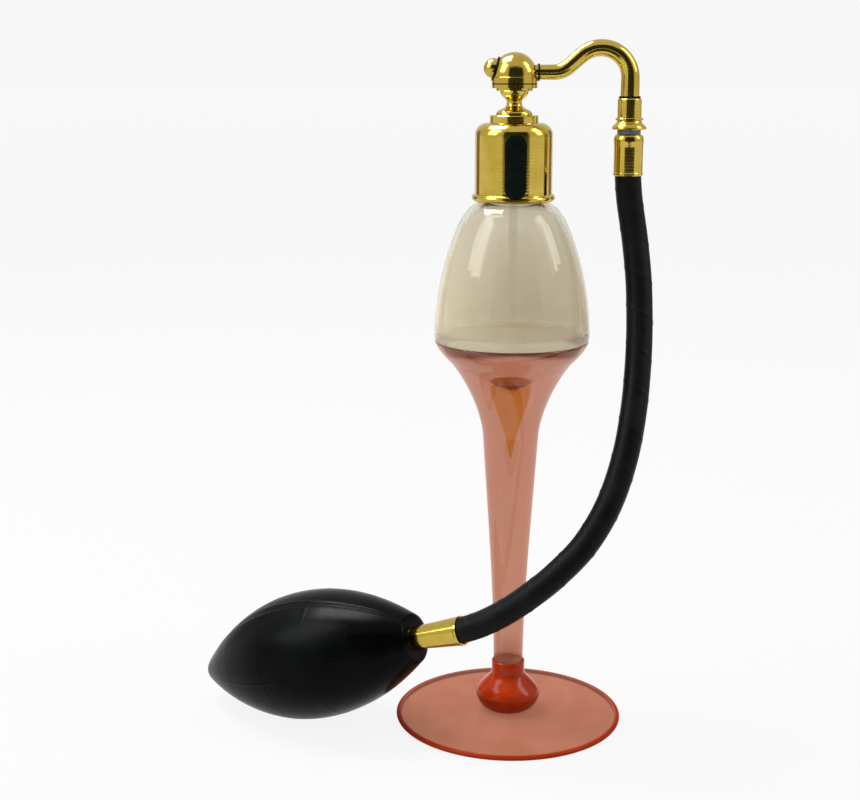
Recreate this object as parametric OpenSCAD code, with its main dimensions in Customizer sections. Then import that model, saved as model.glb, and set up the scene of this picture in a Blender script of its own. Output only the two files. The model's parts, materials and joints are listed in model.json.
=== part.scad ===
// Perfume atomiser: a stemmed glass bottle, a brass spray head, a rubber hose and a squeeze bulb.
// Millimetres. The origin is the centre of the foot's underside, +Z is up, and the hose leaves on +X.

/* [Glass foot and stem] */
// Radius of the round foot
foot_r = 33.5; // [28:0.5:38]
// Thickness of the foot at its middle
foot_t = 2.6; // [2:0.1:3.5]
// Largest radius of the red knop on the foot
knop_r = 9.7; // [8.5:0.1:11]
// Radius of the stem where it leaves the knop
stem_r = 4.4; // [3.8:0.1:4.6]
// Radius of the stem just under the cup
stem_top_r = 8; // [7:0.1:9]
// Radius of the amber drop cased in the stem
drop_r = 5.8; // [4:0.1:6.5]

/* [Bottle] */
// Largest radius of the bottle
bottle_r = 22.2; // [21.5:0.1:23]
// Thickness of the bottle wall
bottle_wall = 1.5; // [1.2:0.1:2]
// Thickness of the bottle floor
bottle_floor = 2.4; // [1.6:0.1:3.5]
// Outer radius of the bottle neck
neck_r = 8.2; // [8:0.1:8.5]
// Bore radius of the bottle neck
neck_bore_r = 6.8; // [6.2:0.1:7]

/* [Screw collar] */
// Outer radius of the collar wall
collar_r = 10.9; // [10.8:0.1:11.4]
// Radius of the bead round the collar's lower edge
bead_r = 11.75; // [11.5:0.05:12.2]
// Pitch of the neck thread
thread_pitch = 3; // [2.5:0.1:3]
// Width of the black enamel inlay
inlay_w = 6; // [4:0.1:7]

/* [Spray head] */
// Radius of the domed head
dome_r = 6.2; // [6:0.1:6.4]
// Angle of the spray nozzle above level
nozzle_lift = 17; // [12:1:20]
// Radius of the ball-shaped spray tip
tip_r = 2.8; // [2.5:0.1:3]
// Outer radius of the bent air pipe where it leaves the head
pipe_r = 2; // [1.9:0.05:2.1]
// Outer radius of the bent air pipe at its lower end
pipe_end_r = 2.6; // [2.2:0.05:2.65]
// Distance from the bottle's axis to the hose's axis
reach = 32; // [30:0.5:34]

/* [Hose and bulb] */
// Outer radius of the hose
hose_r = 3.75; // [3.5:0.05:3.75]
// Largest radius of the squeeze bulb
bulb_r = 18.9; // [18:0.1:19.5]
// Thickness of the bulb's rubber wall
bulb_wall = 1.6; // [1.2:0.1:2]
// Angle by which the bulb's mouth is tipped up
bulb_pitch = 18; // [17:0.5:19]
// Angle by which the bulb's mouth is turned forward
bulb_yaw = 28; // [27:0.5:29]

/* [Hidden] */
$fn = 96;

// Radial clearance of a turning or sliding fit, and of a ball in its seat
fit = 0.08;
over = 1;

// Heights of the glass
knop_top = 17.4;
knop_socket = 12;
rim_z = 114.2;
spigot_h = 1.3;
floor_z = rim_z + bottle_floor;
shoulder_z = 154;
neck_top = 167;
cup_apex = 99.5;
cup_slope = 25;
drop_skin = 1.1;
drop_tip = 79.5;

// Heights of the collar and what it clamps
collar_base = 153.9;
collar_top = 175.6;
collar_roof = 173;
gasket_t = 1.2;
washer_t = 0.4;
washer_top = neck_top + gasket_t + washer_t;
ring_r = 9.85;
ring_base = 154.4;
ring_top = 166.6;
collar_bore = ring_r + fit;
shoulder_arc = 3.5;
bead_tube_r = 1.05;
disc_r = 6.8;
disc_t = 2;
disc_top = collar_top + disc_t;
inlay_base = 155;
inlay_top = 172.6;
inlay_depth = 0.6;

// Post and dome
tail_r = 2.6;
tail_end = 170.6;
waist_r = 2.1;
waist_z = 181;
step_z = 184.2;
flange_z = 185;
flange_r = 6.35;
flange_top = 186;
spigot_r = 2;
spigot_top = 191;
clip_z = 190.2;
clip_gap = 0.4;
swivel_t = 0.3;
dome_base = flange_top + swivel_t + 0.02;
dome_lip = 188;
dome_z = 188.6;
hub_top = 190;
cavity_r = 4.8;

// Distances along the nozzle's axis from the dome's centre
spot_d = 5.07;
nozzle_gasket_t = 0.7;
tip_face = spot_d + nozzle_gasket_t + 0.03;
tip_centre = tip_face + 0.25;
shank_r = 1.5;
shank_end = 3.9;
jet_r = 0.75;

// Bent air pipe: a level run, a bend up, a slanting run, a bend over the top and a drop
pipe_bore = 1.2;
pipe_sides = 20;
pipe_fit = 0.03;
pipe_z = 189.3;
pipe_start = 3.6;
lean = 41;
low_bend_r = 6;
top_bend_r = 8.2;
top_bend_z = 187.7;
pipe_end = 179;
low_end_z = pipe_z + low_bend_r * (1 - cos(lean));
top_start_z = top_bend_z + top_bend_r * cos(lean);
slant = (top_start_z - low_end_z) / sin(lean);
top_start_x = reach - top_bend_r - top_bend_r * sin(lean);
low_end_x = top_start_x - slant * cos(lean);
low_start_x = low_end_x - low_bend_r * sin(lean);

// Outlet fitting, ball and hose ferrule on the hose's axis
fitting_top = 182.3;
fitting_r = 3.35;
seal_t = 0.5;
lip_z = 176.2;
skirt_z = 173.7;
skirt_r = 4.8;
ball_r = 3.3;
ball_z = 173.2;
seat_r = ball_r + fit;
stud_r = 1.2;
stud_top = 178.8;
stud_floor = 177.8;
ferrule_r = 4.2;
ferrule_top = 172.5;
ferrule_base = 161;
web_z = 168.5;
hose_socket_r = 3.8;
barb_r = 1.7;

// Hose: the route of its centre, from inside the upper ferrule to inside the lower one
hose_bore = 1.9;
hose_sides = 12;
hose_rings = 44;
hose_route = [
    [32, 0, 168.4], [32, 0, 162], [32.7, 0, 154], [34.3, -1, 143.5], [35.3, -4.2, 132], [35.3, -8.6, 120],
    [34.6, -13, 109.5], [33, -18.4, 97.5], [30.2, -23.3, 85], [25.6, -27.6, 73], [19, -30.8, 62.6],
    [11, -32.3, 54.4], [4.5, -32.1, 48.8], [-2.4, -30.8, 43.4], [-9.4, -28.6, 38.9]
];

// Bulb: its own axis is X, pointing out of the mouth, from the middle of its widest part
bulb_x = -57.6;
bulb_y = -3.5;
mouth_half = 45;
tail_half = 42.5;
mouth_d = 36;
mouth_inner_d = 33.2;
nose_d = -37.2;
tail_cut_d = -39.6;
tail_inner_d = -36.8;
valve_r = 1.5;
pad_r = 11;
pad_gap = 0.15;
nipple_r = 2.4;
nipple_start = 29;
nipple_end = 53;
ball_room_start = 32;
ball_room_end = 36.5;
check_r = 1.2;
check_d = 32.9;
bulb_ferrule_start = 35;
bulb_ferrule_end = 51.5;
hose_stop_d = 47;
hose_entry_d = hose_stop_d + 3;
seat_flange_t = 0.6;
flap_d = -36.15;

// Colours
brass = [0.70, 0.60, 0.20];
pink = [0.73, 0.49, 0.40, 0.6];
amber = [0.70, 0.43, 0.20];
red_glass = [0.62, 0.20, 0.03];
beige = [0.75, 0.70, 0.58, 0.5];
black = [0.04, 0.04, 0.04];
cork = [0.55, 0.40, 0.26];
grey_green = [0.30, 0.36, 0.34];
clear = [0.85, 0.87, 0.85, 0.5];

// Points of a round stretch of outline
function arc(cx, cz, r, a0, a1, n = 12) =
    [for (i = [0:n]) [cx + r * cos(a0 + (a1 - a0) * i / n), cz + r * sin(a0 + (a1 - a0) * i / n)]];

// Points of a cubic curve between a and d, pulled towards b and c
function curve(a, b, c, d, n = 14) =
    [for (i = [0:n]) let (t = i / n, u = 1 - t)
        u * u * u * a + 3 * u * u * t * b + 3 * u * t * t * c + t * t * t * d];

// Radius of the bulb at distance d along its axis from its widest part
function bulb_radius(d, r, front, back) =
    r * (1 - pow(d / (d > 0 ? front : back), 2));

// Height at which the tipped bulb just rests on the table
bulb_z = max([for (d = [-30:0.25:10])
    bulb_radius(d, bulb_r, mouth_half, tail_half) * cos(bulb_pitch) - d * sin(bulb_pitch)]);
bulb_dir = [cos(bulb_pitch) * cos(bulb_yaw), -cos(bulb_pitch) * sin(bulb_yaw), sin(bulb_pitch)];
bulb_mid = [bulb_x, bulb_y, bulb_z];
hose_points = concat(hose_route, [bulb_mid + hose_entry_d * bulb_dir, bulb_mid + hose_stop_d * bulb_dir]);

module bulb_frame() {
    translate(bulb_mid) rotate([0, -bulb_pitch, -bulb_yaw]) children();
}

module nozzle_frame() {
    translate([0, 0, dome_z]) rotate([0, nozzle_lift - 90, 0]) children();
}

module ring(inner, outer, low, high) {
    translate([0, 0, low]) difference() {
        cylinder(r = outer, h = high - low);
        translate([0, 0, -over]) cylinder(r = inner, h = high - low + 2 * over);
    }
}

// A tube through rings of n points: skin and bore list every ring's points, one ring after another
module swept_tube(skin, bore, n) {
    total = len(skin);
    far = total - n;
    polyhedron(
        points = concat(skin, bore),
        faces = concat(
            [for (k = [0:n:far - n], j = [0:n - 1]) let (a = k + j, b = k + (j + 1) % n)
                [a, b, b + n, a + n]],
            [for (k = [0:n:far - n], j = [0:n - 1]) let (a = total + k + j, b = total + k + (j + 1) % n)
                [a, a + n, b + n, b]],
            [for (j = [0:n - 1]) let (i = (j + 1) % n) [j, total + j, total + i, i]],
            [for (j = [0:n - 1]) let (i = (j + 1) % n)
                [far + j, far + i, total + far + i, total + far + j]]
        )
    );
}

// ---- Glass ----

module foot() {
    edge = 0.65;
    color(pink) rotate_extrude() polygon(concat(
        [[0, 0]],
        arc(foot_r - edge, edge, edge, -90, 75, 8),
        curve([foot_r - 3, 1.35], [foot_r * 0.7, 1.6], [knop_r + 8, 1.9], [knop_r, foot_t], 8),
        [[0, foot_t]]
    ));
}

module stem_knop() {
    lip_r = stem_r + 0.45;
    lip_base = knop_top - 3;
    color(red_glass) rotate_extrude() polygon(concat(
        [[0, foot_t], [knop_r - 0.5, foot_t]],
        curve([knop_r - 0.5, foot_t], [knop_r + 0.4, 4], [knop_r, 8.4], [7.2, 10.8]),
        curve([7.2, 10.8], [5.8, 12.4], [lip_r, 13.2], [lip_r, lip_base], 8),
        [[lip_r, knop_top - 0.2], [lip_r - 0.2, knop_top], [stem_r, knop_top]],
        [[stem_r, knop_socket], [0, knop_socket]]
    ));
}

function drop_outline() = concat(
    [[0, drop_tip], [0, cup_apex - drop_skin]],
    [[drop_r - 0.6, cup_apex - drop_skin + (drop_r - 0.6) * tan(cup_slope)]],
    curve([drop_r, 100.6], [drop_r - 0.4, 95], [2.2, 91], [0.25, drop_tip], 12)
);

module cup_stem() {
    outer_kink = [17.4, 108];
    inner_kink = [15.2, cup_apex + 15.2 * tan(cup_slope)];
    color(pink) difference() {
        rotate_extrude() polygon(concat(
            [[0, knop_socket], [stem_r, knop_socket], [stem_r, 23]],
            curve([stem_r, 23], [stem_r + 0.3, 42], [stem_top_r - 1, 70], [stem_top_r, 86], 16),
            curve([stem_top_r, 86], [stem_top_r + 0.5, 93.5], [13.2, 103], outer_kink, 16),
            curve(outer_kink, [19.4, 110], [21.2, 111.8], [bottle_r - 0.2, rim_z], 10),
            [[bottle_r - 1.8, rim_z]],
            curve([bottle_r - 1.8, rim_z - 0.6], [20, 112.4], [18.4, 109.4], inner_kink, 10),
            curve(inner_kink, [7, cup_apex + 7 * tan(cup_slope)], [3, cup_apex + 0.4], [0, cup_apex], 10)
        ));
        rotate_extrude() polygon(drop_outline());
    }
}

module amber_drop() {
    color(amber) rotate_extrude() polygon(drop_outline());
}

module bottle() {
    spigot_out = bottle_r - 1.9;
    wall = bottle_wall;
    color(beige) rotate_extrude() polygon(concat(
        [[0, rim_z - spigot_h], [spigot_out - 0.3, rim_z - spigot_h], [spigot_out, rim_z - spigot_h + 0.3]],
        [[spigot_out, rim_z]],
        curve([bottle_r - 0.7, rim_z], [bottle_r - 0.1, rim_z + 0.1], [bottle_r, 115.4], [bottle_r, 117], 6),
        curve([bottle_r, 117], [bottle_r - 0.4, 127], [19.6, 139], [14.8, 148.6], 20),
        curve([14.8, 148.6], [13.4, 150.9], [12, 153.4], [neck_r, shoulder_z], 12),
        [[neck_r, neck_top - 0.5], [neck_r - 0.5, neck_top], [neck_bore_r, neck_top]],
        curve([neck_bore_r, 152.8], [10.6, 152.2], [12.2, 149.6], [14.9 - wall, 147.4], 12),
        curve([14.9 - wall, 147.4], [19.5 - wall, 138.5], [bottle_r - wall - 0.4, 127],
            [bottle_r - wall, 119], 20),
        curve([bottle_r - wall, 119], [bottle_r - wall, floor_z + 0.4],
            [bottle_r - wall - 0.6, floor_z], [bottle_r - wall - 2, floor_z], 6),
        [[0, floor_z]]
    ));
}

// The thread is drawn as rings, so the smooth bore of the collar clears it at every turn
module neck_ring() {
    groove = 0.5;
    turns = 3;
    color(brass) rotate_extrude() polygon(concat(
        [[neck_r, ring_base], [ring_r - 0.3, ring_base], [ring_r, ring_base + 0.3]],
        [for (i = [0:turns - 1], p = [[0, 0], [groove, 0.7], [groove, 1.3], [0, 2]])
            [ring_r - p[0], ring_base + 2.2 + i * thread_pitch + p[1]]],
        [[ring_r, ring_top - 0.4], [ring_r - 0.4, ring_top], [neck_r, ring_top]]
    ));
}

// ---- What the collar clamps ----

module neck_gasket() {
    color(cork) ring(6, 9.2, neck_top, neck_top + gasket_t);
}

module slip_washer() {
    color(brass) ring(5.4, 9.4, neck_top + gasket_t, washer_top);
}

// ---- Screw collar ----

module collar_shell() {
    rotate_extrude() polygon(concat(
        [[collar_bore, collar_base]],
        arc(bead_r - bead_tube_r, collar_base + bead_tube_r, bead_tube_r, -90, 78, 10),
        [[collar_r, collar_base + 2.6], [collar_r, collar_top - shoulder_arc]],
        arc(collar_r - shoulder_arc, collar_top - shoulder_arc, shoulder_arc, 0, 90, 12),
        [[tail_r, collar_top], [tail_r, collar_roof], [8.6, collar_roof]],
        [[8.6, washer_top], [collar_bore, washer_top]]
    ));
}

// An upright slot shape with round ends, running out through the front of the collar
module inlay_prism(w) {
    r = w / 2;
    low = inlay_base + inlay_w / 2;
    high = inlay_top - inlay_w / 2;
    rotate([90, 0, 0]) linear_extrude(height = bead_r + over) {
        translate([0, low]) circle(r = r);
        translate([0, high]) circle(r = r);
        translate([-r, low]) square([w, high - low]);
    }
}

module collar() {
    color(brass) difference() {
        collar_shell();
        intersection() {
            inlay_prism(inlay_w);
            ring(collar_r - inlay_depth, bead_r + over, collar_base, collar_top);
        }
    }
}

module collar_inlay() {
    color(black) intersection() {
        inlay_prism(inlay_w);
        ring(collar_r - inlay_depth, collar_r + 0.04, collar_base, collar_top);
    }
}

module collar_disc() {
    color(brass) rotate_extrude() polygon([
        [tail_r, collar_top], [disc_r, collar_top], [disc_r, disc_top - 0.2],
        [disc_r - 0.2, disc_top], [tail_r, disc_top]
    ]);
}

module post() {
    bore = 0.8;
    bell_r = 5.1;
    groove_r = 1.6;
    color(brass) rotate_extrude() polygon(concat(
        [[bore, tail_end], [tail_r, tail_end], [tail_r, disc_top], [bell_r, disc_top]],
        curve([bell_r, disc_top + 0.3], [bell_r - 0.2, disc_top + 2], [waist_r, waist_z - 2],
            [waist_r, waist_z], 12),
        curve([waist_r, waist_z], [waist_r, 182.4], [3.8, 182.2], [4, step_z], 12),
        [[bell_r - 0.2, step_z], [bell_r, step_z + 0.2], [bell_r, flange_z]],
        [[flange_r, flange_z], [flange_r, flange_top], [spigot_r, flange_top]],
        [[spigot_r, clip_z], [groove_r, clip_z], [groove_r, clip_z + clip_gap]],
        [[spigot_r, clip_z + clip_gap], [spigot_r, spigot_top - 0.2]],
        [[spigot_r - 0.2, spigot_top], [bore, spigot_top]]
    ));
}

module head_clip() {
    color(brass) ring(1.6, 2.9, clip_z + 0.02, clip_z + clip_gap - 0.02);
}

module swivel_washer() {
    color(black) ring(spigot_r + 0.05, flange_r - 0.1, flange_top, flange_top + swivel_t);
}

module tube_socket() {
    socket_r = 4.2;
    color(brass) rotate_extrude() polygon([
        [1.4, washer_top + 0.3], [socket_r - 0.4, washer_top + 0.3], [socket_r, washer_top + 0.7],
        [socket_r, collar_roof], [tail_r, collar_roof], [tail_r, tail_end], [1.4, tail_end]
    ]);
}

module siphon_tube() {
    color(clear) ring(0.8, 1.4, floor_z + 1.4, tail_end);
}

// ---- Spray head ----

module dome() {
    cavity_start = acos((hub_top - dome_z) / cavity_r);
    color(brass) difference() {
        rotate_extrude() polygon(concat(
            [[spigot_r + fit, dome_base], [flange_r, dome_base], [flange_r, dome_lip - 0.1]],
            [[flange_r - 0.1, dome_lip], [dome_r, dome_lip]],
            arc(0, dome_z, dome_r, 0, 90, 24),
            arc(0, dome_z, cavity_r, 90, 90 - cavity_start, 16),
            [[spigot_r + fit, hub_top]]
        ));
        translate([pipe_start, 0, pipe_z]) rotate([0, 90, 0]) cylinder(r = pipe_r + pipe_fit, h = 5);
        translate([2.5, 0, pipe_z + 0.6]) rotate([0, 90, 0]) cylinder(r = 1.1, h = 3);
        nozzle_frame() {
            translate([0, 0, 3.4]) cylinder(r = shank_r + fit, h = 5);
            translate([0, 0, spot_d]) cylinder(r = 3.45, h = 4);
        }
    }
}

module nozzle_gasket() {
    color(black) nozzle_frame() ring(shank_r + fit, 3.4, spot_d, spot_d + nozzle_gasket_t);
}

module spray_tip() {
    orifice = 0.25;
    crown = tip_centre + tip_r;
    color(brass) nozzle_frame() difference() {
        union() {
            intersection() {
                translate([0, 0, tip_centre]) sphere(r = tip_r);
                translate([0, 0, tip_face]) cylinder(r = 4, h = 4);
            }
            translate([0, 0, shank_end]) cylinder(r = shank_r, h = tip_centre - shank_end);
        }
        translate([0, 0, shank_end - over]) cylinder(r = jet_r, h = crown - 0.9 - shank_end + over);
        translate([0, 0, shank_end]) cylinder(r = orifice, h = 8);
        translate([0, 0, crown - 0.35]) cylinder(r1 = orifice, r2 = 1, h = 0.6);
    }
}

module jet_tube() {
    color(brass) nozzle_frame() ring(0.35, jet_r, 3.5, tip_centre + tip_r - 1);
}

// Places along the pipe: [x, z, heading above level]
pipe_path = concat(
    [[pipe_start, pipe_z, 0], [pipe_start + 3, pipe_z, 0]],
    [for (a = [0:6]) let (h = lean * a / 6)
        [low_start_x + low_bend_r * sin(h), pipe_z + low_bend_r * (1 - cos(h)), h]],
    [for (a = [0:16]) let (h = lean - (90 + lean) * a / 16)
        [reach - top_bend_r - top_bend_r * sin(h), top_bend_z + top_bend_r * cos(h), h]],
    [[reach, fitting_top, -90], [reach, pipe_end, -90]]
);

function pipe_ring(place, r) =
    [for (j = [0:pipe_sides - 1]) let (a = 360 * j / pipe_sides) [
        place[0] - r * sin(a) * sin(place[2]),
        r * cos(a),
        place[1] + r * sin(a) * cos(place[2])
    ]];

// Share of the pipe's widening reached at station k, which stops where the pipe enters the fitting
function pipe_radius(k) =
    pipe_r + (pipe_end_r - pipe_r) * min(1, max(0, (k - 1) / (len(pipe_path) - 3)));

module swan_neck() {
    last = len(pipe_path) - 1;
    color(brass) swept_tube(
        [for (k = [0:last]) each pipe_ring(pipe_path[k], pipe_radius(k))],
        [for (k = [0:last]) each pipe_ring(pipe_path[k], pipe_bore)],
        pipe_sides
    );
}

module neck_joint_ring() {
    color(black) rotate([0, 90, 0]) translate([-pipe_z, 0, 0])
        ring(pipe_r + 0.04, pipe_r + 0.35, flange_r + 0.05, flange_r + 0.55);
}

module outlet_seal_ring() {
    color(black) translate([reach, 0, 0])
        ring(pipe_end_r + pipe_fit, pipe_end_r + 0.4, fitting_top, fitting_top + seal_t);
}

module outlet_fitting() {
    chamber_r = 2;
    color(brass) translate([reach, 0, 0]) difference() {
        rotate_extrude() polygon(concat(
            [[0, skirt_z], [skirt_r - 0.2, skirt_z], [skirt_r, skirt_z + 0.2]],
            curve([skirt_r, skirt_z + 0.5], [skirt_r - 0.3, 175.2], [3.5, 175.2], [3.4, lip_z], 8),
            [[3.7, lip_z], [3.85, lip_z + 0.15], [3.85, lip_z + 0.55], [3.7, lip_z + 0.7]],
            [[fitting_r, lip_z + 0.7]],
            arc(fitting_r - 0.6, fitting_top - 0.6, 0.6, 0, 90, 8),
            [[0, fitting_top]]
        ));
        translate([0, 0, pipe_end]) cylinder(r = pipe_end_r + pipe_fit, h = 5);
        translate([0, 0, stud_floor]) cylinder(r = chamber_r, h = pipe_end - stud_floor + 0.1);
        translate([0, 0, ball_z]) cylinder(r = stud_r + fit, h = 5);
        translate([0, 0, ball_z]) sphere(r = seat_r);
    }
}

module swivel_ball() {
    groove_z = stud_floor + 0.1;
    color(grey_green) translate([reach, 0, 0]) difference() {
        union() {
            translate([0, 0, ball_z]) sphere(r = ball_r);
            translate([0, 0, ball_z]) cylinder(r = stud_r, h = stud_top - ball_z);
        }
        ring(0.9, 2, groove_z, groove_z + 0.4);
        translate([0, 0, ball_z - 5]) cylinder(r = 0.5, h = 12);
    }
}

module stud_clip() {
    color(brass) translate([reach, 0, 0]) ring(0.9, 1.85, stud_floor + 0.12, stud_floor + 0.48);
}

// ---- Hose ----

module hose_ferrule() {
    color(brass) translate([reach, 0, 0]) difference() {
        rotate_extrude() polygon(concat(
            [[0, ferrule_base], [ferrule_r - 0.2, ferrule_base], [ferrule_r, ferrule_base + 0.2]],
            [[ferrule_r, ferrule_base + 0.7], [ferrule_r - 0.12, ferrule_base + 0.9]],
            [[ferrule_r - 0.12, ferrule_base + 8]],
            curve([ferrule_r, ferrule_base + 9.5], [ferrule_r, 171.4], [4, ferrule_top], [3, ferrule_top], 10),
            [[0, ferrule_top]]
        ));
        translate([0, 0, ferrule_base - over]) cylinder(r = hose_socket_r, h = web_z - ferrule_base + over);
        translate([0, 0, web_z - over]) cylinder(r = 1.4, h = 3);
        translate([0, 0, ball_z]) sphere(r = seat_r);
    }
}

module hose_nipple() {
    color(brass) translate([reach, 0, 0]) rotate_extrude() polygon(concat(
        [[0.6, 158.5], [barb_r - 0.4, 158.5]],
        [for (i = [0:2], p = [[0, 0], [0, 0.3], [0.3, 2.5]])
            [barb_r - p[0], 159.5 + 3 * i + p[1]]],
        [[1.4, web_z - 0.2], [1.4, web_z + 0.9], [0.6, web_z + 0.9]]
    ));
}

// A smooth curve through the route's points: p is a place along it, from 0 to its last index
function hose_at(p) =
    let (
        last = len(hose_points) - 1,
        i = min(floor(p), last - 1),
        t = p - i,
        a = hose_points[max(i - 1, 0)],
        b = hose_points[i],
        c = hose_points[i + 1],
        d = hose_points[min(i + 2, last)]
    )
    0.5 * (2 * b + (c - a) * t + (2 * a - 5 * b + 4 * c - d) * t * t + (3 * b - a - 3 * c + d) * t * t * t);

function unit(v) = v / norm(v);

// One ring of the hose: a circle of points square to the route
function hose_ring(k, r) =
    let (
        last = len(hose_points) - 1,
        p = last * k / (hose_rings - 1),
        step = 0.01,
        along = unit(hose_at(min(p + step, last)) - hose_at(max(p - step, 0))),
        side = unit(cross(along, [0.3, 1, 0])),
        up = cross(side, along)
    )
    [for (j = [0:hose_sides - 1]) let (a = 360 * j / hose_sides)
        hose_at(p) + r * cos(a) * side + r * sin(a) * up];

module hose() {
    color(black) swept_tube(
        [for (k = [0:hose_rings - 1]) each hose_ring(k, hose_r)],
        [for (k = [0:hose_rings - 1]) each hose_ring(k, hose_bore)],
        hose_sides
    );
}

// ---- Bulb ----

// A solid of revolution about the bulb's own axis, from points [distance along it, radius]
module bulb_turned(points) {
    bulb_frame() rotate([0, 90, 0]) rotate_extrude() polygon([for (p = points) [p[1], p[0]]]);
}

module bulb_ferrule() {
    start = bulb_ferrule_start;
    end = bulb_ferrule_end;
    color(brass) bulb_turned(concat(
        curve([start, nipple_r], [start, 3], [start + 0.3, 3.2], [start + 1.5, 3.3], 6),
        [[end - 0.9, 4.1], [end - 0.7, 4.2], [end, 4.2], [end, hose_socket_r]],
        [[hose_stop_d, hose_socket_r], [hose_stop_d, nipple_r]]
    ));
}

module bulb_nipple() {
    bore = 0.8;
    color(brass) bulb_turned(concat(
        [[nipple_start, 0.9], [nipple_start, nipple_r], [hose_stop_d, nipple_r]],
        [[hose_stop_d, barb_r], [nipple_end - 1, barb_r], [nipple_end, barb_r - 0.4]],
        [[nipple_end, bore], [ball_room_end, bore], [ball_room_end, 1.6]],
        [[ball_room_start, 1.6], [ball_room_start, 0.9]]
    ));
}

// The bulb's wall, with its mouth round the nipple and the hole for the inlet valve at its tail
module bulb_shell() {
    inner_r = bulb_r - bulb_wall;
    mouth_in = mouth_half - 1.9;
    tail_in = tail_half - 2;
    nose_r = bulb_radius(nose_d, bulb_r, mouth_half, tail_half);
    steps = 32;
    mouth_sink_r = 3.35;
    bulb_turned(concat(
        curve([tail_cut_d, valve_r], [tail_cut_d, 2.6], [nose_d - 1.1, nose_r - 0.9], [nose_d, nose_r], 7),
        [for (i = [1:steps]) let (d = nose_d + (mouth_d - 0.6 - nose_d) * i / steps)
            [d, bulb_radius(d, bulb_r, mouth_half, tail_half)]],
        [[mouth_d, bulb_radius(mouth_d, bulb_r, mouth_half, tail_half) - 0.5]],
        [[mouth_d, mouth_sink_r], [bulb_ferrule_start, mouth_sink_r]],
        [[bulb_ferrule_start, nipple_r], [mouth_inner_d, nipple_r]],
        [for (i = [0:steps]) let (d = mouth_inner_d + (tail_inner_d - mouth_inner_d) * i / steps)
            [d, bulb_radius(d, inner_r, mouth_in, tail_in)]],
        [[tail_inner_d, valve_r]]
    ));
}

module pad_column(r) {
    bulb_frame() translate([0, 0, 8]) cylinder(r = r, h = bulb_r);
}

module bulb() {
    color(black) difference() {
        bulb_shell();
        pad_column(pad_r + pad_gap);
    }
}

// The patch of the bulb's wall that the thumb pushes in
module bulb_pad() {
    color(black) intersection() {
        bulb_shell();
        pad_column(pad_r);
    }
}

module check_ball() {
    color(clear) bulb_frame() translate([check_d, 0, 0]) sphere(r = check_r);
}

module valve_seat() {
    flange_d = tail_inner_d + seat_flange_t;
    bore = 0.7;
    color(black) bulb_turned([
        [tail_cut_d, bore], [tail_cut_d, valve_r], [tail_inner_d, valve_r],
        [tail_inner_d, 2.4], [flange_d, 2.4], [flange_d, bore]
    ]);
}

module inlet_flap() {
    color(clear) bulb_turned([[flap_d, 0], [flap_d, 2], [flap_d + 0.4, 2], [flap_d + 0.4, 0]]);
}

foot();
stem_knop();
cup_stem();
amber_drop();
bottle();
neck_ring();
neck_gasket();
slip_washer();
collar();
collar_inlay();
collar_disc();
post();
head_clip();
swivel_washer();
tube_socket();
siphon_tube();
dome();
nozzle_gasket();
spray_tip();
jet_tube();
swan_neck();
neck_joint_ring();
outlet_seal_ring();
outlet_fitting();
swivel_ball();
stud_clip();
hose_ferrule();
hose_nipple();
hose();
bulb_ferrule();
bulb_nipple();
bulb();
bulb_pad();
check_ball();
valve_seat();
inlet_flap();
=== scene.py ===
"""Looks of the perfume atomiser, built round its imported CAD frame. Metres, +Z up, hose on +X."""

import json
import math

import bpy
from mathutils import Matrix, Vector


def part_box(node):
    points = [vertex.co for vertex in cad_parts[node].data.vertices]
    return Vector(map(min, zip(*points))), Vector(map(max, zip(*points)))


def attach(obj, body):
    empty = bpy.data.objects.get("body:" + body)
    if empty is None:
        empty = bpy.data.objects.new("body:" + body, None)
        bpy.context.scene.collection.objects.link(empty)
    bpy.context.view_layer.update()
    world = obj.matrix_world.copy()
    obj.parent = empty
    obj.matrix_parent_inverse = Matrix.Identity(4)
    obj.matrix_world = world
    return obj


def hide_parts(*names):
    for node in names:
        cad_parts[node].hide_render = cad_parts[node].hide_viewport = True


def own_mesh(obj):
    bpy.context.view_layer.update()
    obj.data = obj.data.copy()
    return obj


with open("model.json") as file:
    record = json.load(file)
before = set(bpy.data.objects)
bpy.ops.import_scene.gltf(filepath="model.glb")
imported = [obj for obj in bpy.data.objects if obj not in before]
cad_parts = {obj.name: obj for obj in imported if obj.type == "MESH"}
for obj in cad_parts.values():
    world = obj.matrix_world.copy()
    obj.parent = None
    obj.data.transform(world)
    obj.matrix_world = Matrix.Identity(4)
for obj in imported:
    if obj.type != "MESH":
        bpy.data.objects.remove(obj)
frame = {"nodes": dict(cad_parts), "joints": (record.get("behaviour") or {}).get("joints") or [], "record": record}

NODES = frame["nodes"]
JOINTS = {joint["name"]: joint for joint in frame["joints"]}
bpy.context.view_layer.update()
MM = 0.001
ORIGIN = Vector((0, 0, 0))
UP = Vector((0, 0, 1))


def point(x, y, z):
    """A place in the frame, from millimetres."""
    return Vector((x, y, z)) * MM


def middle(node):
    """The middle of a CAD node's box."""
    low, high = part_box(node)
    return (low + high) / 2


# ---- Places read from the frame ----

HOSE_TOP = middle("hose_ferrule")
BULB_DIR = Vector(JOINTS["outlet_ball_lift"]["axis"])
BULB_UP = -Vector(JOINTS["bulb_squeeze"]["axis"])
CHECK_BALL_TO_MID = 32.9 * MM
BULB_MID = middle("check_ball") - CHECK_BALL_TO_MID * BULB_DIR
FOOT_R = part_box("foot")[1].x
RIM_Z = 114.15 * MM


# ---- Curves and meshes ----


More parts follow.
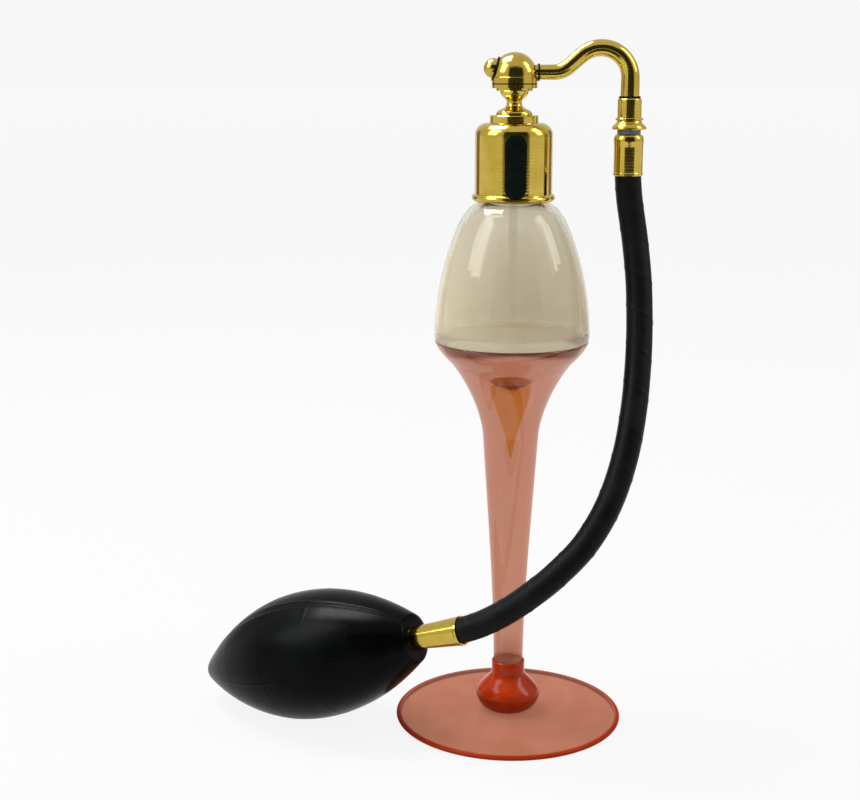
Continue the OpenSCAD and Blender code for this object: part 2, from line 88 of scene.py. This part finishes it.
def bezier(a, b, c, d, steps):
    """Points of a cubic curve from a to d, pulled towards b and c, without its first point."""
    places = [Vector(p) for p in (a, b, c, d)]
    found = []
    for i in range(1, steps + 1):
        t = i / steps
        u = 1 - t
        weights = (u**3, 3 * u * u * t, 3 * u * t * t, t**3)
        found.append(sum((w * p for w, p in zip(weights, places)), Vector([0] * len(places[0]))))
    return found


def spline(points, steps):
    """A smooth line through the points, with that many steps between each two."""
    ends = [2 * points[0] - points[1], *points, 2 * points[-1] - points[-2]]
    line = []
    for i in range(1, len(ends) - 2):
        a, b, c, d = ends[i - 1 : i + 3]
        for step in range(steps):
            t = step / steps
            bend = (2 * a - 5 * b + 4 * c - d) * t * t + (3 * b - a - 3 * c + d) * t**3
            line.append(0.5 * (2 * b + (c - a) * t + bend))
    return [*line, points[-1].copy()]


def length_of(line):
    """The length of a line of points."""
    return sum((b - a).length for a, b in zip(line, line[1:]))


def even(line, count):
    """The same line, as that many points at equal distances."""
    gap = length_of(line) / (count - 1)
    found = [line[0].copy()]
    want = gap
    gone = 0.0
    for a, b in zip(line, line[1:]):
        span = (b - a).length
        while gone + span >= want and len(found) < count - 1:
            found.append(a.lerp(b, (want - gone) / span))
            want += gap
        gone += span
    return [*found, line[-1].copy()]


def new_mesh(name, vertices, faces, material, around=None):
    """A smooth mesh object. around gives each vertex's (u, v), in metres, for woven materials."""
    mesh = bpy.data.meshes.new(name)
    mesh.from_pydata(vertices, [], faces)
    mesh.validate()
    mesh.shade_smooth()
    if around:
        layer = mesh.uv_layers.new(name="weave")
        for loop in mesh.loops:
            layer.data[loop.index].uv = around[loop.vertex_index]
    mesh.materials.append(material)
    made = bpy.data.objects.new(name, mesh)
    bpy.context.scene.collection.objects.link(made)
    return made


def grid_faces(rings, sides):
    """Faces of a skin through rings of vertices, each ring closed."""
    return [
        (k * sides + j, k * sides + (j + 1) % sides, (k + 1) * sides + (j + 1) % sides, (k + 1) * sides + j)
        for k in range(rings - 1)
        for j in range(sides)
    ]


def lathe(name, outline, origin, along, material, sides=128, relief=None):
    """A body turned about the line through origin, from an outline of (distance, radius).

    relief(distance, angle) is how far a vertex stands out from the outline."""
    along = along.normalized()
    side = along.cross(BULB_UP if abs(along.z) < 0.9 else Vector((0, 1, 0))).normalized()
    up = side.cross(along)
    vertices = []
    for distance, radius in outline:
        for j in range(sides):
            angle = 2 * math.pi * j / sides
            out = radius + (relief(distance, angle) if relief and radius > MM else 0)
            vertices.append(origin + distance * along + out * (math.cos(angle) * up + math.sin(angle) * side))
    faces = grid_faces(len(outline), sides)
    faces.append(tuple(reversed(range(sides))))
    faces.append(tuple(range((len(outline) - 1) * sides, len(outline) * sides)))
    return new_mesh(name, vertices, faces, material)


def tube(name, line, radius_at, material, sides=32, relief=None):
    """A closed tube along a line. radius_at(share of the way) is its radius there."""
    tangents = [(b - a).normalized() for a, b in zip([line[0], *line], [*line[1:], line[-1]])]
    tangents[0] = (line[1] - line[0]).normalized()
    side = tangents[0].cross(Vector((0, 1, 0.2))).normalized()
    vertices = []
    around = []
    gone = 0.0
    for k, (place, tangent) in enumerate(zip(line, tangents)):
        side = (side - side.dot(tangent) * tangent).normalized()
        up = tangent.cross(side)
        gone += (place - line[k - 1]).length if k else 0
        radius = radius_at(k / (len(line) - 1))
        for j in range(sides):
            angle = 2 * math.pi * j / sides
            out = radius + (relief(gone, angle) if relief else 0)
            vertices.append(place + out * (math.cos(angle) * side + math.sin(angle) * up))
            around.append((angle * radius, gone))
    faces = grid_faces(len(line), sides)
    faces.append(tuple(reversed(range(sides))))
    faces.append(tuple(range((len(line) - 1) * sides, len(line) * sides)))
    return new_mesh(name, vertices, faces, material, around)


def ridge(offset, width):
    """Height from 0 to 1 of a smooth ridge that is width wide, at an offset from its middle."""
    return math.exp(-((offset / (width / 2)) ** 2))


# ---- Materials ----


class Shader:
    """One procedural material, wired up a node at a time."""

    def __init__(self, name, **settings):
        self.material = bpy.data.materials.new(name)
        self.material.use_nodes = True
        self.tree = self.material.node_tree
        self.surface = self.tree.nodes["Principled BSDF"]
        for socket, value in settings.items():
            self.surface.inputs[socket.replace("_", " ")].default_value = value

    def node(self, kind, inputs, **settings):
        made = self.tree.nodes.new("ShaderNode" + kind)
        for key, value in settings.items():
            setattr(made, key, value)
        for socket, value in inputs.items():
            if isinstance(value, bpy.types.NodeSocket):
                self.tree.links.new(value, made.inputs[socket])
            else:
                made.inputs[socket].default_value = value
        return made

    def place(self, stretch=(1, 1, 1), kind="Object"):
        """The point shaded, stretched along each axis."""
        source = self.node("TexCoord", {}).outputs[kind]
        return self.node("Mapping", {"Vector": source, "Scale": stretch}).outputs["Vector"]

    def noise(self, size, detail=4.0, stretch=(1, 1, 1), kind="Object"):
        """Cloudy values from 0 to 1 whose spots are about size metres across."""
        inputs = {"Vector": self.place(stretch, kind), "Scale": 1 / size, "Detail": detail}
        return self.node("TexNoise", inputs).outputs["Fac"]

    def bands(self, period, direction="Z", distortion=0.0, kind="Object", turn=0.0):
        """Waves from 0 to 1 across a direction, one in each period, turned about Z."""
        source = self.node("TexCoord", {}).outputs[kind]
        place = self.node("Mapping", {"Vector": source, "Rotation": (0, 0, turn)}).outputs["Vector"]
        inputs = {"Vector": place, "Scale": 2 * math.pi / period / 20, "Distortion": distortion}
        settings = {"wave_type": "BANDS", "bands_direction": direction, "wave_profile": "SIN"}
        return self.node("TexWave", inputs, **settings).outputs["Fac"]

    def spread(self, value, low, high, start=0.3, stop=0.7):
        """value from start to stop, turned into low to high."""
        inputs = {"Value": value, "From Min": start, "From Max": stop, "To Min": low, "To Max": high}
        return self.node("MapRange", inputs).outputs["Result"]

    def sum(self, *parts):
        """All the values added up."""
        total = parts[0]
        for part in parts[1:]:
            total = self.node("Math", {0: total, 1: part}, operation="ADD").outputs["Value"]
        return total

    def times(self, value, factor):
        """The value times a factor."""
        return self.node("Math", {0: value, 1: factor}, operation="MULTIPLY").outputs["Value"]

    def mix(self, factor, one, other):
        """A colour between two colours."""
        inputs = {"Factor": factor, "A": one, "B": other}
        made = self.tree.nodes.new("ShaderNodeMix")
        made.data_type = "RGBA"
        colours = [s for s in made.inputs if s.type == "RGBA"]
        for socket, value in zip([made.inputs["Factor"], *colours], inputs.values()):
            if isinstance(value, bpy.types.NodeSocket):
                self.tree.links.new(value, socket)
            else:
                socket.default_value = value
        return [s for s in made.outputs if s.type == "RGBA"][0]

    def from_axis(self):
        """The distance of the point shaded from the atomiser's axis, and its height."""
        parts = self.node("SeparateXYZ", {"Vector": self.place()})
        flat = self.node("CombineXYZ", {"X": parts.outputs["X"], "Y": parts.outputs["Y"]}).outputs["Vector"]
        radius = self.node("VectorMath", {0: flat}, operation="LENGTH").outputs["Value"]
        return radius, parts.outputs["Z"]

    def set(self, socket, value):
        """Feed a value into one of the shader's sockets."""
        self.tree.links.new(value, self.surface.inputs[socket])

    def relief(self, height, depth, strength=1.0):
        """Bump the surface by height, from 0 to 1, times depth in metres."""
        inputs = {"Height": height, "Distance": depth, "Strength": strength}
        self.set("Normal", self.node("Bump", inputs).outputs["Normal"])


def rgb(*parts):
    return (*parts, 1.0)


def brass():
    """Lacquered yellow brass: cloudy tarnish, fine scratches and faint lathe lines."""
    made = Shader("polished_brass", Metallic=1.0, Coat_Weight=0.12, Coat_Roughness=0.12)
    clouds = made.noise(6 * MM)
    specks = made.noise(0.7 * MM, 6)
    scratches = made.noise(0.5 * MM, 3, (1, 1, 9))
    turned = made.bands(0.9 * MM, distortion=0.8)
    clean = made.mix(made.spread(clouds, 0, 1), rgb(0.62, 0.46, 0.085), rgb(0.52, 0.36, 0.045))
    worn = made.mix(made.spread(specks, 0, 0.4, 0.55, 0.8), clean, rgb(0.26, 0.16, 0.02))
    made.set("Base Color", worn)
    made.set("Roughness", made.sum(made.spread(clouds, 0.08, 0.16), made.spread(scratches, -0.02, 0.04)))
    made.relief(made.sum(made.times(turned, 0.4), made.times(scratches, 0.5)), 0.008 * MM)
    return made.material


def pink_glass():
    """Cased pink glass with streaks and seeds. The tint is in the outer skin, so the hollow's wall is pale.

    Painted shade: deep red is painted into the hollow's tip, where it lies under the bottle, and in crescents
    under its rim that are widest at the left and right sides. The pressed lower end is cloudy."""
    made = Shader("pink_glass", IOR=1.004, Coat_Weight=0.7, Coat_Roughness=0.04)
    streaks = made.noise(9 * MM, 3, (1, 1, 0.25))
    seeds = made.noise(0.8 * MM, 2)
    tinted = made.mix(made.spread(streaks, 0, 1), rgb(0.56, 0.24, 0.155), rgb(0.50, 0.20, 0.125))
    body = made.mix(made.spread(seeds, 0, 0.5, 0.68, 0.8), tinted, rgb(0.85, 0.62, 0.50))
    hollow = made.node("Attribute", {}, attribute_name="hollow").outputs["Fac"]
    radius, height = made.from_axis()
    across = made.node("SeparateXYZ", {"Vector": made.place()}).outputs["X"]
    away = made.node("Math", {0: across}, operation="ABSOLUTE").outputs["Value"]
    # Painted shade under the cup's rim: dark red crescents, widest at the left and right sides.
    rim_shade_side_gain = 0.17
    rim_shade_lobes = made.sum(height, made.times(away, rim_shade_side_gain))
    painted_rim_shade = made.spread(rim_shade_lobes, 0, 1, RIM_Z - 1.3 * MM, RIM_Z - 0.1 * MM)
    # Painted shade in the hollow's tip, where it lies under the bottle.
    tip_shade_r = 5.8 * MM
    fade = 0.8 * MM
    tip = made.spread(radius, 1, 0, tip_shade_r, tip_shade_r + fade)
    # The hollow's pale wall, with painted shade mixed in at its tip and under its rim.
    wall = made.mix(tip, rgb(0.97, 0.90, 0.86), rgb(0.17, 0.014, 0.002))
    wall = made.mix(painted_rim_shade, wall, rgb(0.13, 0.018, 0.010))
    made.set("Base Color", made.mix(hollow, body, wall))
    made.set("Roughness", made.spread(streaks, 0.02, 0.07))
    cloudy_z = 13 * MM
    clear_z = 24 * MM
    made.set("Transmission Weight", made.spread(height, 0.1, 0.92, cloudy_z, clear_z))
    made.relief(made.noise(5 * MM, 2), 0.08 * MM, 0.6)
    return made.material


def foot_glass():
    """The foot's pink glass, whose edge gathers a deep red."""
    made = Shader("pink_foot_glass", IOR=1.02, Coat_Weight=0.12, Coat_Roughness=0.15)
    radius = made.from_axis()[0]
    ripples = made.noise(7 * MM, 3)
    seeds = made.noise(0.7 * MM, 2)
    body = made.mix(made.spread(ripples, 0, 1), rgb(0.52, 0.215, 0.135), rgb(0.46, 0.18, 0.11))
    body = made.mix(made.spread(seeds, 0, 0.35, 0.68, 0.8), body, rgb(0.80, 0.50, 0.38))
    edge_start = FOOT_R - 1.7 * MM
    edge_full = FOOT_R - 0.9 * MM
    edge = made.spread(radius, 0, 1, edge_start, edge_full)
    made.set("Transmission Weight", made.spread(radius, 0.82, 0, edge_start, edge_full))
    made.set("Base Color", made.mix(edge, body, rgb(0.26, 0.020, 0.003)))
    made.set("Roughness", made.spread(ripples, 0.10, 0.22))
    made.relief(made.noise(3 * MM, 3), 0.05 * MM, 0.5)
    return made.material


def red_glass():
    """The knop's deep orange-red glass, darker in streaks that run up it."""
    made = Shader("deep_red_glass", Specular_IOR_Level=0.1, Coat_Weight=0.15, Coat_Roughness=0.1)
    streaks = made.noise(4 * MM, 4, (1, 1, 0.3))
    tint = made.mix(made.spread(streaks, 0, 1), rgb(0.34, 0.026, 0.001), rgb(0.26, 0.018, 0.001))
    made.set("Base Color", tint)
    made.set("Roughness", made.spread(streaks, 0.08, 0.2))
    made.relief(made.noise(3 * MM, 2), 0.08 * MM, 0.5)
    return made.material


def amber_glass():
    """The clear amber drop, darker in veins that run down it."""
    made = Shader("amber_glass", IOR=1.004, Transmission_Weight=0.97, Roughness=0.03)
    veins = made.noise(3 * MM, 4, (1, 1, 0.3))
    made.set("Base Color", made.mix(made.spread(veins, 0, 1), rgb(0.95, 0.72, 0.24), rgb(0.90, 0.60, 0.15)))
    return made.material


def bottle_glass():
    """Beige tinted bottle glass with faint drawn streaks and slight waviness, opal near its floor."""
    made = Shader("beige_bottle_glass", IOR=1.06, Coat_Weight=0.5, Coat_Roughness=0.03)
    streaks = made.noise(8 * MM, 3, (1, 1, 0.2))
    clear = made.mix(made.spread(streaks, 0, 1), rgb(0.81, 0.77, 0.67), rgb(0.77, 0.73, 0.62))
    height = made.from_axis()[1]
    opal_z = 112 * MM
    clear_z = 152 * MM
    opal = made.spread(height, 1, 0, opal_z, clear_z)
    made.set("Base Color", made.mix(opal, clear, rgb(0.70, 0.64, 0.47)))
    made.set("Transmission Weight", made.spread(height, 0.62, 0.95, opal_z, clear_z))
    made.set("Roughness", made.spread(streaks, 0.02, 0.07))
    made.relief(made.noise(10 * MM, 1), 0.12 * MM, 0.5)
    return made.material


def clear_tube():
    """Clear glass tubing, faintly clouded."""
    made = Shader("clear_tubing", IOR=1.04, Transmission_Weight=0.95, Coat_Weight=0.3, Roughness=0.03)
    cloud = made.noise(4 * MM, 3)
    made.set("Base Color", made.mix(made.spread(cloud, 0, 1), rgb(0.95, 0.96, 0.94), rgb(0.90, 0.92, 0.89)))
    return made.material


def black_enamel():
    """Fired black enamel with a deep gloss and a fine orange-peel skin."""
    made = Shader("black_enamel", Specular_IOR_Level=0.1, Coat_Weight=0.3, Coat_Roughness=0.05, Roughness=0.3)
    cloud = made.noise(2 * MM, 3)
    tint = made.mix(made.spread(cloud, 0, 1), rgb(0.001, 0.003, 0.002), rgb(0.003, 0.007, 0.005))
    made.set("Base Color", tint)
    made.relief(made.noise(0.6 * MM, 2), 0.02 * MM, 0.4)
    return made.material


def rubber(name, dark, pale, size, roughness, depth):
    """Moulded rubber: a fine grain, pale bloom in patches and rubbed spots."""
    made = Shader(name, Specular_IOR_Level=0.05)
    bloom = made.noise(size, 5)
    grain = made.noise(0.35 * MM, 3)
    made.set("Base Color", made.mix(made.spread(bloom, 0, 1, 0.35, 0.75), dark, pale))
    rubbed = made.sum(made.spread(bloom, roughness - 0.08, roughness + 0.08), made.spread(grain, -0.04, 0.04))
    made.set("Roughness", rubbed)
    made.relief(grain, depth, 0.6)
    return made.material


def woven_hose():
    """A rubber hose in a woven black cover: two sets of threads that cross slantwise."""
    made = Shader("woven_black_hose", Specular_IOR_Level=0.07)
    thread = 0.75 * MM
    cross = math.radians(38)
    one = made.bands(thread, "X", 0.3, "UV", cross)
    other = made.bands(thread, "X", 0.3, "UV", -cross)
    weave = made.node("Math", {0: one, 1: other}, operation="MAXIMUM").outputs["Value"]
    wear = made.noise(9 * MM, 4)
    dark = made.mix(made.spread(weave, 0, 1, 0.2, 0.9), rgb(0.001, 0.001, 0.001), rgb(0.005, 0.005, 0.005))
    made.set("Base Color", made.mix(made.spread(wear, 0, 0.5, 0.45, 0.8), dark, rgb(0.012, 0.012, 0.011)))
    made.set("Roughness", made.spread(wear, 0.30, 0.45))
    made.relief(weave, 0.05 * MM, 0.7)
    return made.material


def cork():
    """Pressed cork, whose grains stand out."""
    made = Shader("pressed_cork", Roughness=0.85)
    grains = made.node("TexVoronoi", {"Vector": made.place(), "Scale": 1 / (0.9 * MM)}).outputs["Distance"]
    made.set("Base Color", made.mix(grains, rgb(0.36, 0.20, 0.09), rgb(0.16, 0.08, 0.03)))
    made.relief(grains, 0.08 * MM)
    return made.material


def painted(name, dark, pale, roughness):
    """Satin plastic or lacquer with a faintly mottled colour and a fine grain."""
    made = Shader(name)
    mottle = made.noise(2 * MM, 4)
    made.set("Base Color", made.mix(made.spread(mottle, 0, 1), dark, pale))
    made.set("Roughness", made.spread(mottle, roughness - 0.06, roughness + 0.06))
    made.relief(made.noise(0.3 * MM, 2), 0.01 * MM, 0.5)
    return made.material


GASKET_BLACK = (rgb(0.004, 0.003, 0.003), rgb(0.02, 0.015, 0.012))
BULB_BLACK = (rgb(0.0006, 0.0006, 0.0006), rgb(0.002, 0.003, 0.003))

MATERIALS = {
    "brass": brass(),
    "foot_glass": foot_glass(),
    "pink_glass": pink_glass(),
    "red_glass": red_glass(),
    "amber_glass": amber_glass(),
    "bottle_glass": bottle_glass(),
    "clear_tube": clear_tube(),
    "valve_glass": clear_tube(),
    "cork": cork(),
    "black_enamel": black_enamel(),
    "black_fibre": rubber("black_fibre", *GASKET_BLACK, 1.5 * MM, 0.6, 0.04 * MM),
    "ball_grey": painted("grey_green_ball", rgb(0.060, 0.085, 0.078), rgb(0.10, 0.13, 0.12), 0.3),
    "hose_rubber": woven_hose(),
    "bulb_rubber": rubber("black_rubber", *BULB_BLACK, 14 * MM, 0.27, 0.04 * MM),
    "black_plastic": painted("black_plastic", rgb(0.008, 0.008, 0.008), rgb(0.02, 0.02, 0.02), 0.4),
    "valve_rubber": painted("valve_rubber", rgb(0.12, 0.10, 0.08), rgb(0.18, 0.15, 0.12), 0.5),
}


# ---- Stage: camera, floor and light ----


def set_camera():
    """A 64 mm lens in front of the atomiser and a little to its left, looking 12 degrees down."""
    data = bpy.data.cameras.new("view")
    data.lens = 64
    data.sensor_width = 36
    data.clip_end = 50
    camera = bpy.data.objects.new("view", data)
    camera.location = point(-23.4, -432, 189)
    tilt = 12.06
    camera.rotation_euler = (math.radians(90 - tilt), 0, 0)
    bpy.context.scene.collection.objects.link(camera)
    bpy.context.scene.camera = camera


def set_floor():
    """A wide pale floor, even out to the horizon, and just below the foot so that they don't touch."""
    half = 20
    drop = 0.1 * MM
    glow = 0.875
    made = Shader("pale_floor", Roughness=0.9)
    made.set("Base Color", made.mix(made.noise(0.05), rgb(0.04, 0.04, 0.04), rgb(0.043, 0.043, 0.043)))
    made.surface.inputs["Specular IOR Level"].default_value = 0.1
    made.surface.inputs["Emission Color"].default_value = rgb(1, 1, 1)
    made.surface.inputs["Emission Strength"].default_value = glow
    corners = [Vector((x * half, y * half, -drop)) for x, y in ((-1, -1), (1, -1), (1, 1), (-1, 1))]
    new_mesh("floor", corners, [(0, 1, 2, 3)], made.material)


def add_panel(name, place, size, power, colour=(1, 1, 1)):
    """A soft box that faces the bottle."""
    data = bpy.data.lights.new(name, "AREA")
    data.shape = "RECTANGLE"
    data.size, data.size_y = size
    data.energy = power
    data.color = colour
    panel = bpy.data.objects.new(name, data)
    panel.location = place
    panel.rotation_euler = (point(0, 0, 110) - panel.location).to_track_quat("-Z", "Y").to_euler()
    bpy.context.scene.collection.objects.link(panel)


def add_card(name, place, across, rise, colour):
    """A dark card hidden from the camera, from diffuse rays and from shadows, for the dark shapes in polished
    metal and glass.

    across and rise reach from its middle to its sides."""
    made = Shader("card_" + name, Roughness=0.9)
    made.set("Base Color", made.mix(made.noise(0.02), rgb(*colour), rgb(*(0.8 * part for part in colour))))
    corners = [place - across - rise, place + across - rise, place + across + rise, place - across + rise]
    card = new_mesh(name, corners, [(0, 1, 2, 3)], made.material)
    card.visible_camera = False
    card.visible_diffuse = False
    card.visible_shadow = False


def set_light():
    """A pale sky that looks brighter than it lights, three soft boxes and four dark cards."""
    sky_light = 0.75
    sky_seen = 0.93
    world = bpy.data.worlds.new("studio")
    world.use_nodes = True
    nodes, links = world.node_tree.nodes, world.node_tree.links
    seen = nodes.new("ShaderNodeLightPath").outputs["Is Camera Ray"]
    strength = nodes.new("ShaderNodeMapRange")
    strength.inputs["To Min"].default_value = sky_light
    strength.inputs["To Max"].default_value = sky_seen
    links.new(seen, strength.inputs["Value"])
    links.new(strength.outputs["Result"], nodes["Background"].inputs["Strength"])
    nodes["Background"].inputs["Color"].default_value = rgb(1, 1, 1)
    bpy.context.scene.world = world
    bpy.context.scene.view_settings.view_transform = "Standard"
    add_panel("key_panel", Vector((-0.60, -0.20, 0.55)), (0.35, 0.5), 3)
    add_panel("right_panel", Vector((0.60, -0.10, 0.55)), (0.2, 0.5), 1.8)
    add_panel("top_panel", Vector((-0.32, 0.15, 0.85)), (0.4, 0.4), 9)
    black = (0.010, 0.009, 0.008)
    brown = (0.22, 0.12, 0.09)
    add_card("front_card", Vector((0.10, -0.85, 0.52)), Vector((0.70, 0, 0)), Vector((0, 0, 0.46)), black)
    add_card("low_card", Vector((0.03, -0.52, 0.004)), Vector((0.15, 0, 0)), Vector((0, 0.34, 0)), black)
    add_card("left_card", Vector((-0.42, 0.40, 0.15)), Vector((0.07, 0.07, 0)), Vector((0, 0, 0.2)), brown)
    add_card("right_card", Vector((0.42, 0.40, 0.15)), Vector((0.07, -0.07, 0)), Vector((0, 0, 0.2)), brown)


# ---- Hose ----

HOSE_R = 3.75 * MM


def hose_line():
    """The hose's centre, from inside the upper ferrule to inside the bulb's ferrule."""
    route = [
        point(32, 0, 168.4),
        point(32, 0, 162),
        point(32.7, 0, 154),
        point(34.3, -1, 143.5),
        point(35.3, -4.2, 132),
        point(35.3, -8.6, 120),
        point(34.6, -13, 109.5),
        point(33, -18.4, 97.5),
        point(30.2, -23.3, 85),
        point(25.6, -27.6, 73),
        point(19, -30.8, 62.6),
        point(11, -32.3, 54.4),
        point(4.5, -32.1, 48.8),
        point(-2.4, -30.8, 43.4),
        point(-9.4, -28.6, 38.9),
        BULB_MID + 50 * MM * BULB_DIR,
        BULB_MID + 47 * MM * BULB_DIR,
    ]
    return spline(route, 24)


def hose_relief(gone, angle):
    """Turns of the cover's wrapping, which slant round the hose, and two seams along it."""
    turn = 11 * MM
    slant = (gone / turn + angle / (2 * math.pi)) % 1 - 0.5
    seam = abs((angle / math.pi) % 1 - 0.5) * math.pi * HOSE_R
    return 0.10 * MM * ridge(slant * turn, 0.9 * MM) + 0.07 * MM * ridge(seam, 0.8 * MM)


def add_hose():
    """The hose in its woven cover, which hangs from the upper ferrule and carries the bulb's."""
    steps = 420
    sides = 64
    line = even(hose_line(), steps)
    skin_r = HOSE_R - 0.05 * MM
    hose = tube("hose_cover", line, lambda share: skin_r, MATERIALS["hose_rubber"], sides, hose_relief)
    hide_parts("hose")
    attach(hose, "hose_line")


# ---- Bulb ----

BULB_R = 18.9 * MM
MOUTH_HALF = 45 * MM
TAIL_HALF = 42.5 * MM


def bulb_outline():
    """The bulb's skin from its tail, round its body and in at its mouth, as (distance, radius)."""

    def radius(d):
        return BULB_R * (1 - (d / (MOUTH_HALF if d > 0 else TAIL_HALF)) ** 2)

    nose = -37.2 * MM
    tail = -39.6 * MM
    mouth = 36 * MM
    start = (nose, radius(nose))
    pulls = ((tail, 2.6 * MM), (nose - 1.1 * MM, start[1] - 0.9 * MM))
    tip = [Vector((tail, 1.55 * MM)), *bezier((tail, 1.55 * MM), *pulls, start, 10)]
    steps = 150
    reach = mouth - 0.8 * MM - nose
    body = [(nose + reach * i / steps, radius(nose + reach * i / steps)) for i in range(1, steps + 1)]
    lip = bezier(body[-1], (mouth, body[-1][1] - 0.2 * MM), (mouth, 5.4 * MM), (mouth, 4.4 * MM), 8)
    dip = mouth - 0.15 * MM
    sink = bezier((mouth, 4.4 * MM), (mouth, 3.7 * MM), (dip, 3.5 * MM), (dip, 3.36 * MM), 5)
    return [*map(tuple, tip), *body, *map(tuple, lip), *map(tuple, sink)]


def bulb_relief(distance, angle):
    """The mould's parting lines along the bulb, in pairs, and fine ribs round it at its upper panels."""
    width = 0.55 * MM
    seams = (88, 97, -88, -97, 20, 29, 180)
    ribs = (-24, -8, 8, 22)
    height = 0
    for seam in seams:
        away = math.remainder(angle - math.radians(seam), 2 * math.pi)
        height += ridge(away * BULB_R, width)
    for rib in ribs:
        height += 0.7 * ridge(distance - rib * MM, width)
    fade = ridge(distance + 2 * MM, 62 * MM)
    return 0.13 * MM * fade * min(height, 1.2)


def add_bulb():
    """The squeeze bulb, one skin."""
    sides = 512
    black = MATERIALS["bulb_rubber"]
    bulb = lathe("squeeze_bulb", bulb_outline(), BULB_MID, BULB_DIR, black, sides, bulb_relief)
    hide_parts("bulb", "bulb_pad")
    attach(bulb, "hose_line")
    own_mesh(bulb)


# ---- Stem and swan neck ----


def stem_outlines():
    """The stem up its outside to the rim, and from the rim down into the hollow, as (height, radius)."""
    kink = (108, 17.4)
    apex = (99.5, 0.02)
    inner_kink = (apex[0] + 15.2 * math.tan(math.radians(25)), 15.2)
    outside = [Vector((12.05, 4.35)), Vector((23, 4.4))]
    outside += bezier((23, 4.4), (42, 4.7), (70, 7), (86, 8), 24)
    outside += bezier((86, 8), (93.5, 8.5), (103, 13.2), kink, 24)
    outside += bezier(kink, (110, 19.4), (111.8, 21.2), (RIM_Z / MM, 22), 14)
    inside = [Vector((RIM_Z / MM, 20.5))]
    inside += bezier((113.6, 20.3), (112.4, 20), (109.4, 18.4), (107.5, 16.6), 14)
    inside += bezier((107.5, 16.6), inner_kink, inner_kink, (105.6, 13.1), 8)
    inside += bezier((105.6, 13.1), (apex[0] + 3.26, 7), (apex[0] + 0.4, 3), apex, 20)
    return [p * MM for p in outside], [p * MM for p in inside]


def add_stem():
    """The stem and its cup. The "hollow" attribute is 1 on the cup's inner skin."""
    sides = 128
    outside, inside = stem_outlines()
    outline = [*outside, *inside]
    stem = lathe("stem_and_cup", outline, ORIGIN, UP, MATERIALS["pink_glass"], sides)
    hollow = stem.data.attributes.new("hollow", "FLOAT", "POINT")
    for vertex in stem.data.vertices:
        hollow.data[vertex.index].value = vertex.index >= len(outside) * sides
    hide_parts("cup_stem")
    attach(stem, "goblet")


def add_knop():
    """The bell-shaped knop: it swells above the foot and narrows to a lip round the stem."""
    base = (2.55, 6.6)
    widest = (7.4, 9.5)
    lip = (14.2, 4.85)
    outline = [Vector(base)]
    outline += bezier(base, (3.6, 8.4), (5.6, 9.45), widest, 16)
    outline += bezier(widest, (10.2, 8.9), (12.0, 4.95), lip, 20)
    outline += [Vector((17.2, 4.85)), Vector((17.4, 4.7)), Vector((17.38, 4.45)), Vector((12, 4.42))]
    outline = [p * MM for p in outline]
    sides = 96
    knop = lathe("glass_knop", outline, ORIGIN, UP, MATERIALS["red_glass"], sides)
    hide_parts("stem_knop")
    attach(knop, "goblet")


def pipe_line():
    """The swan neck's centre: level, a bend up, a slanting run, a bend over the top and a drop."""
    reach = HOSE_TOP.x / MM
    level = 189.3
    lean = math.radians(41)
    low_r = 6
    top_r = 8.2
    top_z = 187.7
    low_end = level + low_r * (1 - math.cos(lean))
    top_start = (reach - top_r - top_r * math.sin(lean), top_z + top_r * math.cos(lean))
    slant = (top_start[1] - low_end) / math.sin(lean)
    low_start = top_start[0] - slant * math.cos(lean) - low_r * math.sin(lean)
    line = [point(3.6, 0, level)]
    for i in range(17):
        a = lean * i / 16
        line.append(point(low_start + low_r * math.sin(a), 0, level + low_r * (1 - math.cos(a))))
    for i in range(41):
        a = lean - (math.pi / 2 + lean) * i / 40
        line.append(point(reach - top_r - top_r * math.sin(a), 0, top_z + top_r * math.cos(a)))
    return [*line, point(reach, 0, 182.3), point(reach, 0, 179)]


def add_swan_neck():
    """The bent air pipe, which widens towards its lower end."""
    steps = 160
    sides = 64
    start_r = 2 * MM
    end_r = 2.6 * MM

    def radius(share):
        return start_r + (end_r - start_r) * min(1, share / 0.88)

    pipe = tube("swan_neck_pipe", even(pipe_line(), steps), radius, MATERIALS["brass"], sides)
    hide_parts("swan_neck")
    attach(pipe, "head")


def dress_frame():
    """Give each CAD node the material of its slot."""
    slots = {part["node"]: part["material_slot"] for part in frame["record"]["subparts"]}
    for name, piece in NODES.items():
        piece.data.materials.clear()
        piece.data.materials.append(MATERIALS[slots[name]])


set_camera()
add_hose()
add_bulb()
add_stem()
add_knop()
add_swan_neck()
dress_frame()
set_floor()
set_light()

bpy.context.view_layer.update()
